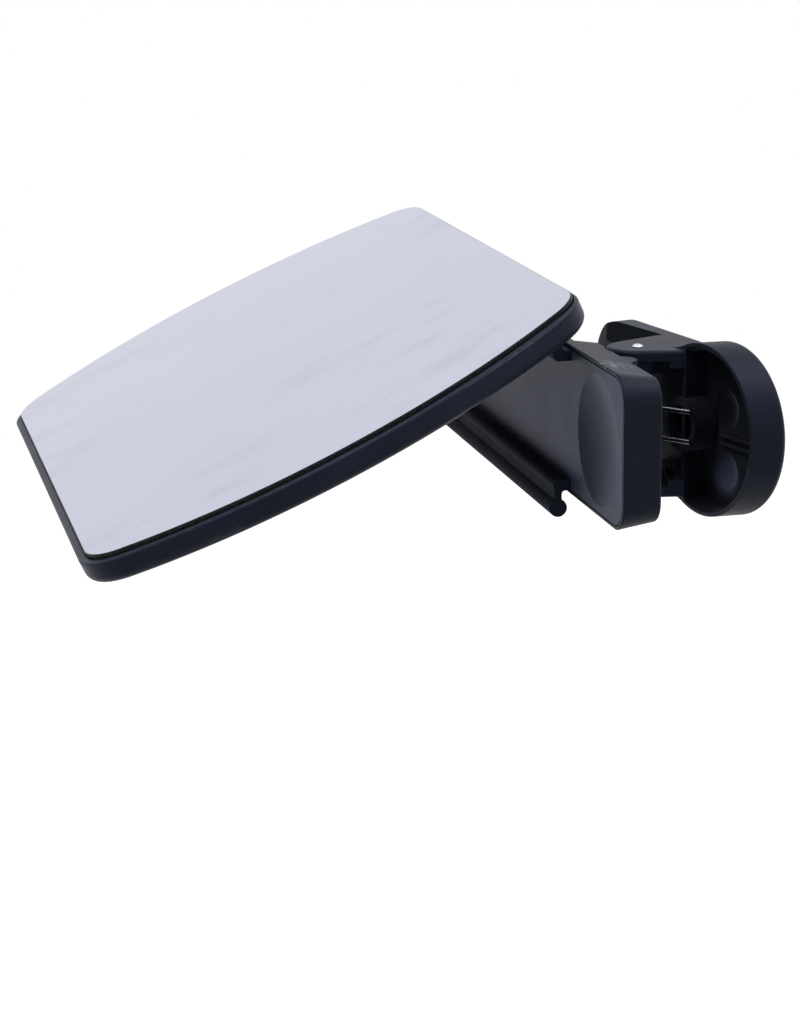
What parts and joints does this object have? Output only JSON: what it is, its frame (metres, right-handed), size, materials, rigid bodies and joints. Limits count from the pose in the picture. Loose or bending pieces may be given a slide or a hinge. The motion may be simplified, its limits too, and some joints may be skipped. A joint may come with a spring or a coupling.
{
  "type": "phone lens reflector clip",
  "caption": "Spring clip that grips the edge of a slim device, with a tilting round-ended mirror in a tray snapped onto a bead rail along its front jaw.",
  "frame": {"origin": "on the gripping face of the front jaw's pad, opposite the middle of the rear jaw's pad", "axes": "+X along the clip towards its handle end, +Y from the front jaw to the rear jaw and normal to the front pad, +Z along the pivot pin towards the rail that carries the mirror"},
  "size_m": [0.1138, 0.0915, 0.0339],
  "materials": {
    "shell_plastic": "fine-grained matte moulded plastic",
    "face_plastic": "smooth satin moulded plastic",
    "tray_plastic": "smooth satin moulded plastic",
    "pad_rubber": "matte soft rubber",
    "pin_steel": "bright steel",
    "spring_steel": "bright spring wire",
    "tape": "foam mounting tape",
    "mirror": "polished mirror glass"
  },
  "bodies": {
    "front": {"front_jaw": "shell_plastic", "face_plate": "face_plastic", "front_grip_pad": "pad_rubber", "torsion_spring": "spring_steel"},
    "rear": {"rear_lever": "shell_plastic", "rear_grip_pad": "pad_rubber", "pivot_pin": "pin_steel"},
    "mirror": {"mirror_tray": "tray_plastic", "mirror_tape": "tape", "mirror_glass": "mirror"}
  },
  "joints": [
    {"name": "jaw_pivot", "type": "hinge", "parent": "front", "child": "rear", "pos_m": [0.021, 0.00695, 0], "axis": [0, 0, -1], "range_deg": [-18, 33], "stiffness_Nm_per_rad": 0.05, "deforming": ["torsion_spring"]},
    {"name": "mirror_tilt", "type": "hinge", "parent": "front", "child": "mirror", "pos_m": [-0.0125, -0.00413, 0.0121], "axis": [-1, 0, 0], "range_deg": [-11, 60]}
  ]
}
